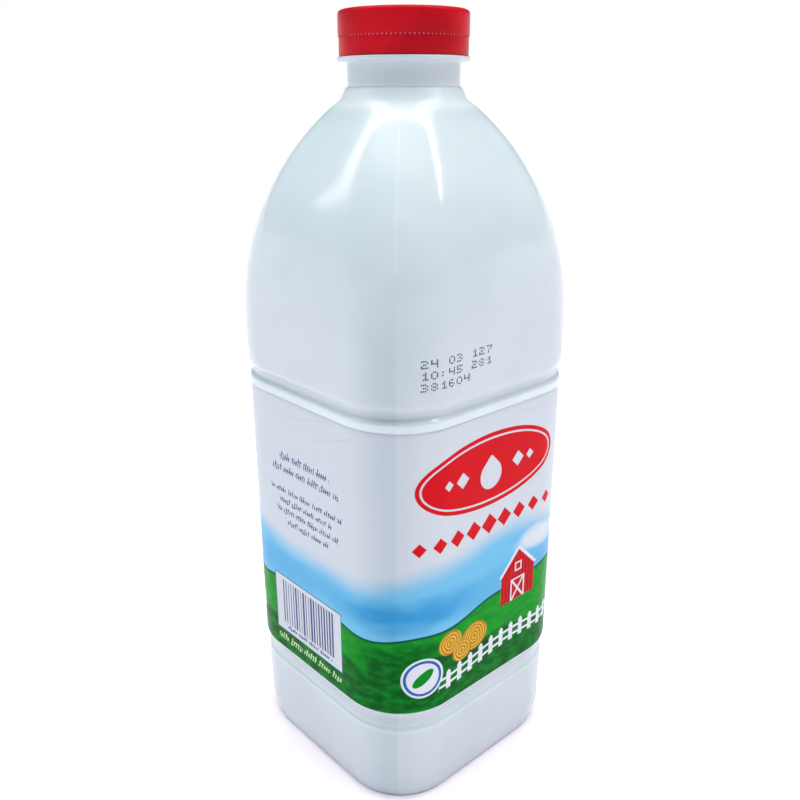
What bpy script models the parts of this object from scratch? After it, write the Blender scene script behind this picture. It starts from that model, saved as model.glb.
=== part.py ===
"""Square 1.5 litre milk bottle of opaque white plastic, shut by a red screw cap.

It stands on z = 0 with its middle on the z axis and its flat sides square to
x and y. The print's main side faces -y. The bottle is full and can't be seen
into, so its body is one solid.
"""

import math

import bmesh
import bpy
from mathutils import Vector

# Space between two pieces that touch on the real bottle
GAP = 0.0003

# Cross-section of the body: a square whose corners turn about one upright line
FLAT_HALF = 0.0216
SHOULDER_HALF = 0.0452
PANEL_HALF = 0.0442
FOOT_HALF = 0.0443
BASE_HALF = 0.0422

# Heights of the body's features above the surface it stands on
CHAMFER_TOP = 0.0086
FOOT_TOP = 0.0286
WAIST_LOW = 0.0312
WAIST_HIGH = 0.0350
PANEL_LOW = 0.0366
PANEL_HIGH = 0.1384
BEAD_LOW = 0.1397
BEAD_HIGH = 0.1412
GROOVE_LOW = 0.1428
GROOVE_HIGH = 0.1444
SHOULDER_LOW = 0.1464

# How far the bead, waist and groove stand out from or lie below the panel
BEAD_PROUD = 0.00065
WAIST_DEPTH = 0.0005
GROOVE_DEPTH = 0.0006

# Hollow under the base, inside the flat rim that the bottle stands on
RECESS_RIM = 0.0340
RECESS_HALF = 0.0305
RECESS_DEPTH = 0.0025

# Dome: its arc leaves the corners lower than the middles of the sides
DOME_CORNER_START = 0.1618
DOME_SIDE_START = 0.1702
DOME_TOP = 0.2310
DOME_TOP_RADIUS = 0.0180

# Neck, and the flange that carries the bottle through the filling line
NECK_RADIUS = 0.01745
NECK_LOW = 0.2336
FLANGE_RADIUS = 0.0202
FLANGE_LOW = 0.2403
FLANGE_HIGH = 0.2419
FINISH_RADIUS = 0.0184
FINISH_TOP = 0.2531

# Screw cap with its tamper band below the slit
CAP_RADIUS = 0.0202
CAP_HEIGHT = 0.0130
CAP_WALL = 0.0015
CAP_ROOF = 0.0018
CAP_EDGE = 0.0009
BAND_RADIUS = 0.0200
BAND_HEIGHT = 0.0052
SLIT_HEIGHT = 0.0006
SLIT_DEPTH = 0.0005

# Wrap label of plastic film, in the panel between the bead and the waist
LABEL_LOW = 0.0368
LABEL_HIGH = 0.1383
LABEL_THICKNESS = 0.0004

# Facets
FLAT_STEPS = 5
CORNER_STEPS = 9
ROUNDING_STEPS = 2
DOME_STEPS = 20
CAP_SIDES = 64

WHITE = (0.80, 0.84, 0.88)
RED = (0.70, 0.02, 0.03)
FILM = (0.25, 0.55, 0.25)


def clear_scene():
    for thing in list(bpy.data.objects):
        bpy.data.objects.remove(thing, do_unlink=True)


def plastic(name, colour, roughness):
    material = bpy.data.materials.new(name)
    material.use_nodes = True
    shader = material.node_tree.nodes["Principled BSDF"]
    shader.inputs["Base Color"].default_value = (*colour, 1.0)
    shader.inputs["Roughness"].default_value = roughness
    shader.inputs["Metallic"].default_value = 0.0
    return material


def rounded(corners):
    """Outline through corners given as (half width, height, rounding), with each inner one rounded."""
    points = [Vector(corners[0][:2])]
    for before, here, after in zip(corners, corners[1:], corners[2:]):
        corner = Vector(here[:2])
        back = (Vector(before[:2]) - corner).normalized()
        ahead = (Vector(after[:2]) - corner).normalized()
        start = corner + back * here[2]
        end = corner + ahead * here[2]
        for step in range(ROUNDING_STEPS + 1):
            part = step / ROUNDING_STEPS
            points.append(start.lerp(corner, part).lerp(corner.lerp(end, part), part))
    points.append(Vector(corners[-1][:2]))
    return points


def ogive(start_half, start_height, height):
    """Half width at a height on the arc that leaves an upright wall and ends on the dome's top."""
    rise = DOME_TOP - start_height
    drop = start_half - DOME_TOP_RADIUS
    radius = (rise * rise + drop * drop) / (2 * drop)
    climbed = max(height - start_height, 0.0)
    return start_half - radius + math.sqrt(radius * radius - climbed * climbed)


def ring_angles():
    """Directions round the body, with a point where each flat side meets its corner."""
    flat_end = math.atan2(FLAT_HALF, SHOULDER_HALF)
    corner = math.pi / 2 - 2 * flat_end
    angles = []
    for quarter in range(4):
        middle = quarter * math.pi / 2
        for step in range(FLAT_STEPS):
            angles.append(middle + flat_end * (2 * step / FLAT_STEPS - 1))
        for step in range(CORNER_STEPS):
            angles.append(middle + flat_end + corner * step / CORNER_STEPS)
    return angles


def square_radius(half, flat, angle):
    """Distance from the axis to the edge of a square with rounded corners."""
    turned = abs((angle + math.pi / 4) % (math.pi / 2) - math.pi / 4)
    if half * math.tan(turned) <= flat:
        return half / math.cos(turned)
    along = flat * (math.cos(turned) + math.sin(turned))
    return along + math.sqrt(along * along - 2 * flat * flat + (half - flat) ** 2)


def square_ring(half, flat, height):
    ring = []
    for angle in ring_angles():
        radius = square_radius(half, flat, angle)
        ring.append((radius * math.cos(angle), radius * math.sin(angle), height))
    return ring


def round_ring(radius, height, sides):
    turn = 2 * math.pi / sides
    return [(radius * math.cos(turn * k), radius * math.sin(turn * k), height) for k in range(sides)]


def skin(name, rings, material, tube=False):
    """Closed solid over a stack of rings. A tube joins its last ring to its first, other stacks get flat ends."""
    shape = bmesh.new()
    loops = [[shape.verts.new(point) for point in ring] for ring in rings]
    pairs = list(zip(loops, loops[1:]))
    if tube:
        pairs.append((loops[-1], loops[0]))
    else:
        shape.faces.new(loops[0])
        shape.faces.new(loops[-1])
    for lower, upper in pairs:
        for k in range(len(lower)):
            shape.faces.new((lower[k - 1], lower[k], upper[k], upper[k - 1]))
    bmesh.ops.recalc_face_normals(shape, faces=shape.faces)
    mesh = bpy.data.meshes.new(name)
    shape.to_mesh(mesh)
    shape.free()
    mesh.materials.append(material)
    mesh.shade_smooth()
    mesh.set_sharp_from_angle(angle=math.radians(35))
    piece = bpy.data.objects.new(name, mesh)
    bpy.context.scene.collection.objects.link(piece)
    return piece


def wall_outline():
    """Body from the hollow under the base up to the start of the dome."""
    groove_half = PANEL_HALF - GROOVE_DEPTH
    waist_half = PANEL_HALF - WAIST_DEPTH
    bead_half = PANEL_HALF + BEAD_PROUD
    return rounded([
        (RECESS_HALF, RECESS_DEPTH, 0.0),
        (RECESS_RIM, 0.0, 0.0008),
        (BASE_HALF, 0.0, 0.0009),
        (FOOT_HALF - 0.0003, CHAMFER_TOP, 0.0009),
        (FOOT_HALF, FOOT_TOP, 0.0012),
        (waist_half, WAIST_LOW, 0.0010),
        (waist_half, WAIST_HIGH, 0.0008),
        (PANEL_HALF, PANEL_LOW, 0.0004),
        (PANEL_HALF, PANEL_HIGH, 0.0004),
        (bead_half, BEAD_LOW, 0.0007),
        (bead_half, BEAD_HIGH, 0.0008),
        (groove_half, GROOVE_LOW, 0.0008),
        (groove_half, GROOVE_HIGH, 0.0008),
        (SHOULDER_HALF, SHOULDER_LOW, 0.0012),
        (SHOULDER_HALF, DOME_CORNER_START, 0.0),
    ])


def dome_rings():
    """Rings that turn from the rounded square of the shoulder into the round neck."""
    corner_share = math.sqrt(2) - 1
    corner_half = SHOULDER_HALF + FLAT_HALF * corner_share
    rings = []
    for step in range(1, DOME_STEPS + 1):
        height = DOME_CORNER_START + (DOME_TOP - DOME_CORNER_START) * step / DOME_STEPS
        side = ogive(SHOULDER_HALF, DOME_SIDE_START, height)
        corner = ogive(corner_half, DOME_CORNER_START, height)
        flat = max((corner - side) / corner_share, 0.0)
        rings.append(square_ring(side, flat, height))
    return rings


def neck_outline():
    """Neck from the dome's top, round the flange and up inside the cap."""
    return rounded([
        (DOME_TOP_RADIUS, DOME_TOP + 0.0004, 0.0),
        (NECK_RADIUS, NECK_LOW, 0.0008),
        (NECK_RADIUS, FLANGE_LOW, 0.0006),
        (FLANGE_RADIUS, FLANGE_LOW, 0.0004),
        (FLANGE_RADIUS, FLANGE_HIGH, 0.0004),
        (FINISH_RADIUS, FLANGE_HIGH, 0.0003),
        (FINISH_RADIUS, FINISH_TOP, 0.0008),
        (FINISH_RADIUS - 0.0030, FINISH_TOP, 0.0),
    ])


def bottle_body():
    rings = [square_ring(half, FLAT_HALF, height) for half, height in wall_outline()]
    rings += dome_rings()
    rings += [square_ring(radius, 0.0, height) for radius, height in neck_outline()]
    return skin("bottle_body", rings, plastic("white_bottle", WHITE, 0.25))


def wrap_label():
    """Sleeve of film round the panel, the gap away from it."""
    inside = PANEL_HALF + GAP
    outside = inside + LABEL_THICKNESS
    outline = [(inside, LABEL_LOW), (outside, LABEL_LOW), (outside, LABEL_HIGH), (inside, LABEL_HIGH)]
    rings = [square_ring(half, FLAT_HALF, height) for half, height in outline]
    return skin("wrap_label", rings, plastic("label_film", FILM, 0.35), tube=True)


def screw_cap():
    """Cup over the neck's finish, with the slit that lets its band tear off."""
    low = FLANGE_HIGH + GAP
    top = low + CAP_HEIGHT
    slit = low + BAND_HEIGHT
    bore = CAP_RADIUS - CAP_WALL
    outline = rounded([
        (bore - 0.0040, top - CAP_ROOF, 0.0),
        (bore, top - CAP_ROOF, 0.0004),
        (bore, low, 0.0002),
        (BAND_RADIUS, low, 0.0003),
        (BAND_RADIUS, slit, 0.0001),
        (BAND_RADIUS - SLIT_DEPTH, slit, 0.0001),
        (BAND_RADIUS - SLIT_DEPTH, slit + SLIT_HEIGHT, 0.0001),
        (CAP_RADIUS, slit + SLIT_HEIGHT, 0.0001),
        (CAP_RADIUS, top, CAP_EDGE),
        (CAP_RADIUS - 0.0040, top, 0.0),
    ])
    rings = [round_ring(radius, height, CAP_SIDES) for radius, height in outline]
    return skin("screw_cap", rings, plastic("red_cap", RED, 0.35))


clear_scene()
bottle_body()
wrap_label()
screw_cap()
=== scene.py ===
# %% [markdown]
# # A square milk bottle with a wrap label and a red screw cap
#
# The bottle is blow-moulded from white plastic: a parison of soft plastic is blown out against a cold
# mould, so every edge is round and a fine line shows where the two halves of the mould met. A printed film
# is wrapped round its recessed panel, and a turned cap closes the neck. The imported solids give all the
# sizes. This lesson models each of the three pieces again, finer, in the same place, and gives each its
# finish.

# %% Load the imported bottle
import math

import bmesh
import bpy
from mathutils import Matrix, Vector


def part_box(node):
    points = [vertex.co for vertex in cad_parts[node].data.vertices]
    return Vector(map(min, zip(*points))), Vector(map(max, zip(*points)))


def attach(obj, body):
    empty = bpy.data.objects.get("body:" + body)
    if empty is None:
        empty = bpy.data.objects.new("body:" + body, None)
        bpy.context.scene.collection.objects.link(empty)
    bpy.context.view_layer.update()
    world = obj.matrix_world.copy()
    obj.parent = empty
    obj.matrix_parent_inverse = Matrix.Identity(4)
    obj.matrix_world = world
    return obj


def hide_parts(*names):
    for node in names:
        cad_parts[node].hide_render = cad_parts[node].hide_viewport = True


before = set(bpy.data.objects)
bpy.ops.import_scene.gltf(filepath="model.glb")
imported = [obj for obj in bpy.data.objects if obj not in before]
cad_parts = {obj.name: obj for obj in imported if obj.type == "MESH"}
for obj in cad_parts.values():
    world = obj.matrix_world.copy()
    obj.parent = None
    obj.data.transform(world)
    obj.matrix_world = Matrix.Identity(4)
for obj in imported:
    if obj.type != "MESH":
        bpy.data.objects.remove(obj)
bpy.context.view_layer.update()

print("packed nodes:", sorted(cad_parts))

# %% [markdown]
# ## The camera
#
# The photograph was taken from close by, at the height of the neck and looking down, on the line of one
# upright corner, so two faces show and the lower parts look narrower. The camera stands at the same place
# in the bottle's own frame. Its turn is made of three plain turns, so that each can be changed by itself.

# %% Set the camera
EYE = Vector((-0.1891, -0.2079, 0.2322))
LOOK_ROUND = math.radians(-41.983)
LOOK_DOWN = math.radians(20.108)
LOOK_TILT = math.radians(-0.183)
LENS = 37.97

camera_data = bpy.data.cameras.new("camera")
camera_data.sensor_width = 36.0
camera_data.lens = LENS
camera_data.clip_start = 0.01
camera = bpy.data.objects.new("camera", camera_data)
bpy.context.scene.collection.objects.link(camera)
turn = Matrix.Rotation(LOOK_ROUND, 4, "Z")
turn = turn @ Matrix.Rotation(math.pi / 2 - LOOK_DOWN, 4, "X")
turn = turn @ Matrix.Rotation(LOOK_TILT, 4, "Z")
camera.matrix_world = Matrix.Translation(EYE) @ turn
bpy.context.scene.camera = camera
print("camera stands", round(EYE.xy.length, 3), "m from the bottle's axis")

# %% [markdown]
# ## Helpers for node graphs
#
# A material is a graph of nodes, and so is the light of a room. These helpers add a node with its options
# and its inputs in one call, so that the graphs below read like formulas. An input takes either a value or
# another node's output. A node group is a graph with its own inputs and outputs, which several materials
# can share.

# %% Add nodes by one call
def node(tree, kind, plugs=None, **options):
    """Adds a node, sets its options and fills its inputs with values or with other nodes' outputs."""
    made = tree.nodes.new(kind)
    for name, value in options.items():
        setattr(made, name, value)
    for key, value in (plugs or {}).items():
        if isinstance(value, bpy.types.NodeSocket):
            tree.links.new(value, made.inputs[key])
        else:
            made.inputs[key].default_value = value
    return made


def calc(tree, operation, first, second=0.0, third=0.0):
    """One step of arithmetic."""
    return node(tree, "ShaderNodeMath", {0: first, 1: second, 2: third}, operation=operation).outputs[0]


def vector_calc(tree, operation, first, second=(0, 0, 0)):
    """One step of arithmetic on places. It gives a place, or a number where the step measures one."""
    made = node(tree, "ShaderNodeVectorMath", {0: first, 1: second}, operation=operation)
    return made.outputs["Value" if operation in ("LENGTH", "DISTANCE", "DOT_PRODUCT") else "Vector"]


def blend(tree, mask, under, over, **options):
    """One colour over another, where the mask is 1."""
    mix = node(tree, "ShaderNodeMix", {0: mask, 6: under, 7: over}, data_type="RGBA", **options)
    return mix.outputs[2]


def ramp(tree, value, start, end, low=0.0, high=1.0):
    """A value carried from one range to another, and held at its ends."""
    plugs = {"Value": value, "From Min": start, "From Max": end, "To Min": low, "To Max": high}
    return node(tree, "ShaderNodeMapRange", plugs, interpolation_type="SMOOTHSTEP").outputs["Result"]


def new_group(name, inputs, outputs):
    """An empty node group with named inputs and outputs: its tree, its inputs and its output node."""
    tree = bpy.data.node_groups.new(name, "ShaderNodeTree")
    for label, kind in inputs:
        tree.interface.new_socket(name=label, in_out="INPUT", socket_type=kind)
    for label, kind in outputs:
        tree.interface.new_socket(name=label, in_out="OUTPUT", socket_type=kind)
    return tree, tree.nodes.new("NodeGroupInput").outputs, tree.nodes.new("NodeGroupOutput")


def use_group(tree, group, plugs):
    """Places a group in a material or in another group."""
    return node(tree, "ShaderNodeGroup", plugs, node_tree=group)


FLOAT = "NodeSocketFloat"
VECTOR = "NodeSocketVector"
print("helpers ready")

# %% [markdown]
# ## Floor and light
#
# White plastic shows its form mostly by what it mirrors. The room is white near the horizon, so that the
# floor runs on into it without an edge. Above that it is dark but for a dim blue light on one side, which
# wraps the left face, and a soft glow overhead, which the bead and the collar catch. Broad lights from
# above and from both sides keep the wide floor evenly bright. None comes from the front, so the near corner
# stays a little darker than the faces beside it. They stay out of mirrored light, where their round edges
# would show.
#
# Five tubes hang over the bottle in one bent line, and the dome mirrors them as a bright arch.

# %% Lay the floor
FLOOR_HALF = 30.0
FLOOR_PAINT = (0.93, 0.845, 0.93, 1.0)
FLOOR_ROUGHNESS = 0.7

bpy.ops.object.select_all(action="DESELECT")
bpy.ops.mesh.primitive_plane_add(size=2 * FLOOR_HALF)
floor = bpy.context.object
floor.name = "floor"
paint = bpy.data.materials.new("floor paint")
paint.use_nodes = True
shader = paint.node_tree.nodes["Principled BSDF"]
shader.inputs["Base Color"].default_value = FLOOR_PAINT
shader.inputs["Roughness"].default_value = FLOOR_ROUGHNESS
floor.data.materials.append(paint)
print("floor is", 2 * FLOOR_HALF, "m wide")

# %% Colour the room
HORIZON_LIGHT = (1.0, 1.0, 1.0, 1.0)
HORIZON_TOP = 0.095
DARK_FROM = 0.14
ROOM_LIGHT = (0.06, 0.12, 0.17, 1.0)
SIDE_LIGHT = (0.16, 0.32, 0.40, 1.0)
CEILING = (0.0, 0.0, 0.0, 1.0)
SIDE_TO = (-1.0, 1.0, 0.0)
SIDE_HIGH = 0.40
SIDE_END = 0.62
OVERHEAD = (0.58, 0.60, 0.59, 1.0)
OVERHEAD_START = 0.72
OVERHEAD_FULL = 0.95

world = bpy.data.worlds.new("room")
world.use_nodes = True
room = world.node_tree

looking = node(room, "ShaderNodeTexCoord").outputs["Generated"]
height_seen = node(room, "ShaderNodeSeparateXYZ", {0: looking}).outputs["Z"]
away_from_side = vector_calc(room, "DOT_PRODUCT", looking, -Vector(SIDE_TO).normalized())
shade = blend(room, ramp(room, away_from_side, -1.0, 0.0, 1.0, 0.0), ROOM_LIGHT, SIDE_LIGHT)
shade = blend(room, ramp(room, height_seen, SIDE_HIGH, SIDE_END, 1.0, 0.0), CEILING, shade)
shade = blend(room, ramp(room, height_seen, OVERHEAD_START, OVERHEAD_FULL, 1.0, 0.0), OVERHEAD, shade)
shade = blend(room, ramp(room, height_seen, HORIZON_TOP, DARK_FROM, 1.0, 0.0), shade, HORIZON_LIGHT)
room.links.new(shade, room.nodes["Background"].inputs["Color"])
bpy.context.scene.world = world
bpy.context.scene.view_settings.view_transform = "Standard"
print("room is white up to", round(math.degrees(math.asin(HORIZON_TOP)), 1), "degrees above the horizon")

# %% Hang the lamps
FROM_ABOVE = (0.94, 1.0, 0.95)
FROM_TUBES = (1.0, 0.95, 0.95)


def hang(name, kind, power, colour, place, aim, turned=0.0):
    """A lamp at a place, aimed at a point and turned about its own axis."""
    data = bpy.data.lights.new(name, kind)
    data.energy = power
    data.color = colour
    thing = bpy.data.objects.new(name, data)
    bpy.context.scene.collection.objects.link(thing)
    facing = (aim - place).to_track_quat("-Z", "Y").to_matrix().to_4x4()
    thing.matrix_world = Matrix.Translation(place) @ facing @ Matrix.Rotation(turned, 4, "Z")
    return thing


SUN_SPREAD = math.radians(70)
SUNS = [
    ("light from above", 2.20, (0.0, 0.0, 2.0)),
    ("light from the left", 0.80, (-0.8, 0.8, 2.0)),
    ("light from the right", 1.00, (0.8, -0.8, 2.0)),
]
for name, strength, place in SUNS:
    sun = hang(name, "SUN", strength, FROM_ABOVE, Vector(place), Vector((0, 0, 0)))
    sun.data.angle = SUN_SPREAD
    sun.visible_glossy = False

TUBES_HEIGHT = 0.80
TUBE_ENDS = [(-1.02, 1.22), (-0.72, 0.715), (-0.16, 0.29), (0.02, 0.062), (0.235, -0.13), (0.405, -0.736)]
TUBE_WIDTHS = [0.13, 0.062, 0.09, 0.085, 0.058]
TUBE_GLOW = [12.0, 21.0, 30.0, 30.0, 42.0]
for k, (width, glow) in enumerate(zip(TUBE_WIDTHS, TUBE_GLOW)):
    start = Vector((*TUBE_ENDS[k], TUBES_HEIGHT))
    along_tube = Vector((*TUBE_ENDS[k + 1], TUBES_HEIGHT)) - start
    middle = start + along_tube / 2
    tube = hang(f"tube {k + 1}", "AREA", glow * width * along_tube.length, FROM_TUBES, middle,
                middle - Vector((0, 0, 1)), math.atan2(-along_tube.x, along_tube.y))
    tube.data.shape = "RECTANGLE"
    tube.data.size = width
    tube.data.size_y = along_tube.length

# %% [markdown]
# ## Sizes of the bottle's wall
#
# The frame gives the widest places: the shoulder, the label and the cap. What lies between them is stated
# here, as distances from the axis to the middle of a flat side, and as heights above the table. Each corner
# of this outline is rounded, as a blown wall has no sharp edge: the plastic can't be pushed into a sharp
# corner of the mould.

# %% Name the sizes
MM = 0.001
body_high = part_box("bottle_body")[1]
label_low, label_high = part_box("wrap_label")
cap_low, cap_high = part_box("screw_cap")

SHOULDER = body_high.x
PANEL = label_high.x - 0.7 * MM
BASE = SHOULDER - 3.0 * MM
FOOT = SHOULDER - 0.9 * MM
FLAT = 21.6 * MM
WAIST = PANEL - 1.0 * MM
BEAD = PANEL + 0.85 * MM
GROOVE = PANEL - 0.6 * MM
NECK = 17.45 * MM
CAP = cap_high.x
FLANGE = CAP + 0.4 * MM
FINISH = 18.4 * MM

WALL_OUTLINE = [
    (BASE - 2.0 * MM, 0.0, 0.0),
    (BASE, 0.0, 0.9 * MM),
    (FOOT - 0.3 * MM, 8.6 * MM, 1.1 * MM),
    (FOOT, 29.6 * MM, 0.9 * MM),
    (WAIST, 30.8 * MM, 0.5 * MM),
    (WAIST, 34.4 * MM, 0.6 * MM),
    (PANEL, 36.4 * MM, 0.5 * MM),
    (PANEL, 137.7 * MM, 0.1 * MM),
    (BEAD, 138.35 * MM, 0.12 * MM),
    (BEAD, 140.9 * MM, 1.0 * MM),
    (GROOVE, 142.0 * MM, 0.6 * MM),
    (GROOVE, 143.5 * MM, 0.6 * MM),
    (SHOULDER, 146.6 * MM, 1.4 * MM),
    (SHOULDER, 161.8 * MM, 0.0),
]
print("shoulder", round(2000 * SHOULDER, 1), "mm wide, panel", round(2000 * PANEL, 1), "mm wide")

# %% [markdown]
# ## From an outline to levels
#
# An outline with a rounding at each corner has to become a row of levels, each a distance from the axis and
# a height. A rounding is a short Bezier curve between the two straight runs that meet there. Long straight
# runs get levels in between, so that the wall can be made a little uneven later.

# %% Turn outlines into levels
ROUND_STEPS = 5
LONGEST_RUN = 5.0 * MM


def rounded(outline, steps=ROUND_STEPS):
    """Points of an outline given as (across, height, rounding), with each inner corner rounded."""
    points = [Vector(outline[0][:2])]
    for before, here, after in zip(outline, outline[1:], outline[2:]):
        corner = Vector(here[:2])
        start = corner + (Vector(before[:2]) - corner).normalized() * here[2]
        end = corner + (Vector(after[:2]) - corner).normalized() * here[2]
        for step in range(steps + 1 if here[2] else 1):
            part = step / steps
            points.append(start.lerp(corner, part).lerp(corner.lerp(end, part), part))
    points.append(Vector(outline[-1][:2]))
    return points


def filled(points, longest=LONGEST_RUN):
    """The same points, with more along each run that is longer than a length."""
    full = points[:1]
    for point in points[1:]:
        start = full[-1]
        parts = math.ceil((point - start).length / longest)
        full += [start.lerp(point, (k + 1) / parts) for k in range(parts)]
    return full


wall_levels = filled(rounded(WALL_OUTLINE))
print("wall levels:", len(wall_levels))

# %% [markdown]
# ## A ring that climbs
#
# The section of the bottle is a square with wide round corners low down, and a circle at the neck. A plane
# whose four corners are bevelled is such a square. Its edge is then extruded from level to level. At each
# level the ring is scaled, and on the dome it is also pulled towards a circle by the To Sphere tool, which
# moves each point part of the way to the mean distance. Two numbers settle it: where its sides and where
# its corners have to be.

# %% Make and lead a ring
CORNER_STEPS = 16
FLAT_CUTS = 15


def edit_mesh():
    """The mesh of the piece that is in edit mode."""
    return bmesh.from_edit_mesh(bpy.context.object.data)


def open_edges():
    """How many edges of that mesh have a face on one side only."""
    return sum(edge.is_boundary for edge in edit_mesh().edges)


def choose(kind, wanted):
    """Selects, in edit mode, the vertices, edges or faces for which wanted(item) is true."""
    bpy.ops.mesh.select_mode(type={"verts": "VERT", "edges": "EDGE", "faces": "FACE"}[kind])
    bpy.ops.mesh.select_all(action="DESELECT")
    mesh = edit_mesh()
    count = 0
    for item in getattr(mesh, kind):
        if wanted(item):
            item.select_set(True)
            count += 1
    mesh.select_flush_mode()
    bmesh.update_edit_mesh(bpy.context.object.data)
    return count


def new_piece(name, add, **sizes):
    """Adds a primitive with its place applied, names it and opens it in edit mode, alone."""
    bpy.ops.object.select_all(action="DESELECT")
    add(**sizes)
    piece = bpy.context.object
    piece.name = name
    piece.data.name = name
    bpy.ops.object.transform_apply(location=True, rotation=True, scale=True)
    bpy.ops.object.mode_set(mode="EDIT")
    bpy.ops.mesh.select_mode(type="VERT")
    return piece


class Ring:
    """The selected ring of edges, with what its sides, corners and points measure from the axis."""

    def __init__(self, name, half, height):
        flat = FLAT * half / PANEL
        self.piece = new_piece(name, bpy.ops.mesh.primitive_plane_add, size=2 * half,
                               location=(0, 0, height))
        bpy.ops.mesh.bevel(offset=half - flat, affect="VERTICES", segments=CORNER_STEPS, profile=0.5)
        bpy.ops.mesh.delete(type="ONLY_FACE")
        choose("edges", lambda edge: edge.calc_length() > flat)
        bpy.ops.mesh.subdivide(number_cuts=FLAT_CUTS)
        bpy.ops.mesh.select_mode(type="VERT")
        bpy.ops.mesh.select_all(action="SELECT")
        reach = [vert.co.xy.length for vert in edit_mesh().verts]
        self.side = min(reach)
        self.corner = max(reach)
        self.mean = sum(reach) / len(reach)
        self.height = height
        self.count = len(reach)

    def climb(self, side, height, corner=None):
        """Extrudes the ring to a height, and brings its sides and any given corner to their distance."""
        lift = (0, 0, height - self.height)
        bpy.ops.mesh.extrude_region_move(TRANSFORM_OT_translate={"value": lift})
        self.height = height
        if corner is not None and self.corner - self.side > 1e-6:
            self.round_off(side, corner)
        factor = side / self.side
        bpy.ops.transform.resize(value=(factor, factor, 1), center_override=(0, 0, height))
        self.side *= factor
        self.corner *= factor
        self.mean *= factor

    def round_off(self, side, corner):
        """Pulls the ring towards a circle until its corners and sides have the wanted proportion."""
        above = self.corner * side - self.side * corner
        part = above / (corner * (self.mean - self.side) + side * (self.corner - self.mean))
        part = min(max(part, 0.0), 1.0)
        bpy.ops.transform.tosphere(value=part, center_override=(0, 0, self.height))
        self.side += part * (self.mean - self.side)
        self.corner += part * (self.mean - self.corner)


ring = Ring("bottle_shell", *wall_levels[0])
print("ring of", ring.count, "points, its corners", round(ring.corner / ring.side, 3),
      "times as far out as its sides")

# %% [markdown]
# ## The wall, from the foot to the shoulder
#
# The bottle stands on a narrow rim. Above it are a chamfered foot, a waist, the recessed panel for the
# label, a bead and a groove that stiffen the wall, and the upright shoulder. All of these keep the same
# section, so the ring only climbs and grows or shrinks.

# %% Raise the wall
for half, height in wall_levels[1:]:
    ring.climb(half, height)
print("wall reaches", round(1000 * ring.height, 1), "mm")

# %% [markdown]
# ## The dome and the neck
#
# Two arcs lead the ring over the dome. The arc of the corners starts lower than that of the sides, so the
# shoulder drops away at the corners, and the two meet in a circle at the neck. There the dome turns upwards
# in a short hollow curve, and a small ledge marks where the neck begins. The neck carries a flange just
# under the cap. The finish inside the cap can't be seen, so it is plain and closed.

# %% Raise the dome and the neck
DOME_TOP = 231.0 * MM
DOME_TOP_RADIUS = 18.4 * MM
SIDE_START = 170.2 * MM
CORNER_START = 161.8 * MM
DOME_END = 228.6 * MM
DOME_STEPS = 48
NECK_OUTLINE = [
    (20.9 * MM, DOME_END, 0.0),
    (19.45 * MM, 230.5 * MM, 1.2 * MM),
    (18.75 * MM, 232.2 * MM, 0.7 * MM),
    (18.1 * MM, 233.3 * MM, 0.35 * MM),
    (NECK + 0.06 * MM, 233.5 * MM, 0.12 * MM),
    (NECK, 240.6 * MM, 0.5 * MM),
    (FLANGE, 240.9 * MM, 0.35 * MM),
    (FLANGE, 242.08 * MM, 0.5 * MM),
    (FINISH, 242.08 * MM, 0.3 * MM),
    (FINISH, 253.1 * MM, 0.8 * MM),
    (6.0 * MM, 253.1 * MM, 0.0),
]


def arc(start, start_height, height):
    """Distance from the axis on the arc that leaves an upright wall and ends on the dome's top."""
    rise = DOME_TOP - start_height
    drop = start - DOME_TOP_RADIUS
    radius = (rise * rise + drop * drop) / (2 * drop)
    climbed = max(height - start_height, 0.0)
    return start - radius + math.sqrt(radius * radius - climbed * climbed)


corner_reach = SHOULDER + FLAT * (math.sqrt(2) - 1)
for step in range(1, DOME_STEPS + 1):
    height = CORNER_START + (DOME_END - CORNER_START) * step / DOME_STEPS
    side = arc(SHOULDER, SIDE_START, height)
    ring.climb(side, height, max(arc(corner_reach, CORNER_START, height), side))
for radius, height in rounded(NECK_OUTLINE)[1:]:
    ring.climb(radius, height, radius)
bpy.ops.mesh.merge(type="CENTER")
print("shell reaches", round(1000 * ring.height, 1), "mm with", len(edit_mesh().verts), "points")

# %% [markdown]
# ## The hollow under the base
#
# Such a bottle stands on its rim, and the plastic inside it is pushed up so that it can't rock. The first
# ring is selected again by its place and extruded inwards. A merge at the centre closes the shell.

# %% Close the base
RECESS_OUTLINE = [
    (wall_levels[0].x, 0.0, 0.0),
    (34.0 * MM, 0.0, 0.8 * MM),
    (30.5 * MM, 2.5 * MM, 0.9 * MM),
    (12.0 * MM, 3.0 * MM, 1.0 * MM),
    (2.0 * MM, 3.2 * MM, 0.0),
]
choose("edges", lambda edge: edge.is_boundary)
ring.side = wall_levels[0].x
ring.height = 0.0
for half, height in rounded(RECESS_OUTLINE)[1:]:
    ring.climb(half, height)
bpy.ops.mesh.merge(type="CENTER")
bpy.ops.mesh.select_all(action="SELECT")
bpy.ops.mesh.normals_make_consistent(inside=False)
print("open edges left:", open_edges())

# %% [markdown]
# ## The parting line
#
# The mould opened across two opposite corners, and a fine ridge of plastic runs up each of them. The column
# of edges on that corner is bevelled into four narrow strips, and the middle is fattened outwards by less
# than a tenth of a millimetre. The outer strips keep the smooth shading from spreading over the whole
# corner.

# %% Raise the parting line
RIDGE_HALF = 0.65 * MM
RIDGE_HEIGHT = 0.07 * MM
RIDGE_LOW = 1.5 * MM
RIDGE_TOP = 228.0 * MM


def on_parting(vert):
    """True on the two corners where the halves of the mould met."""
    on_corner = abs(vert.co.x - vert.co.y) < 1e-6 and vert.co.xy.length > NECK
    return on_corner and RIDGE_LOW < vert.co.z < RIDGE_TOP


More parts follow.
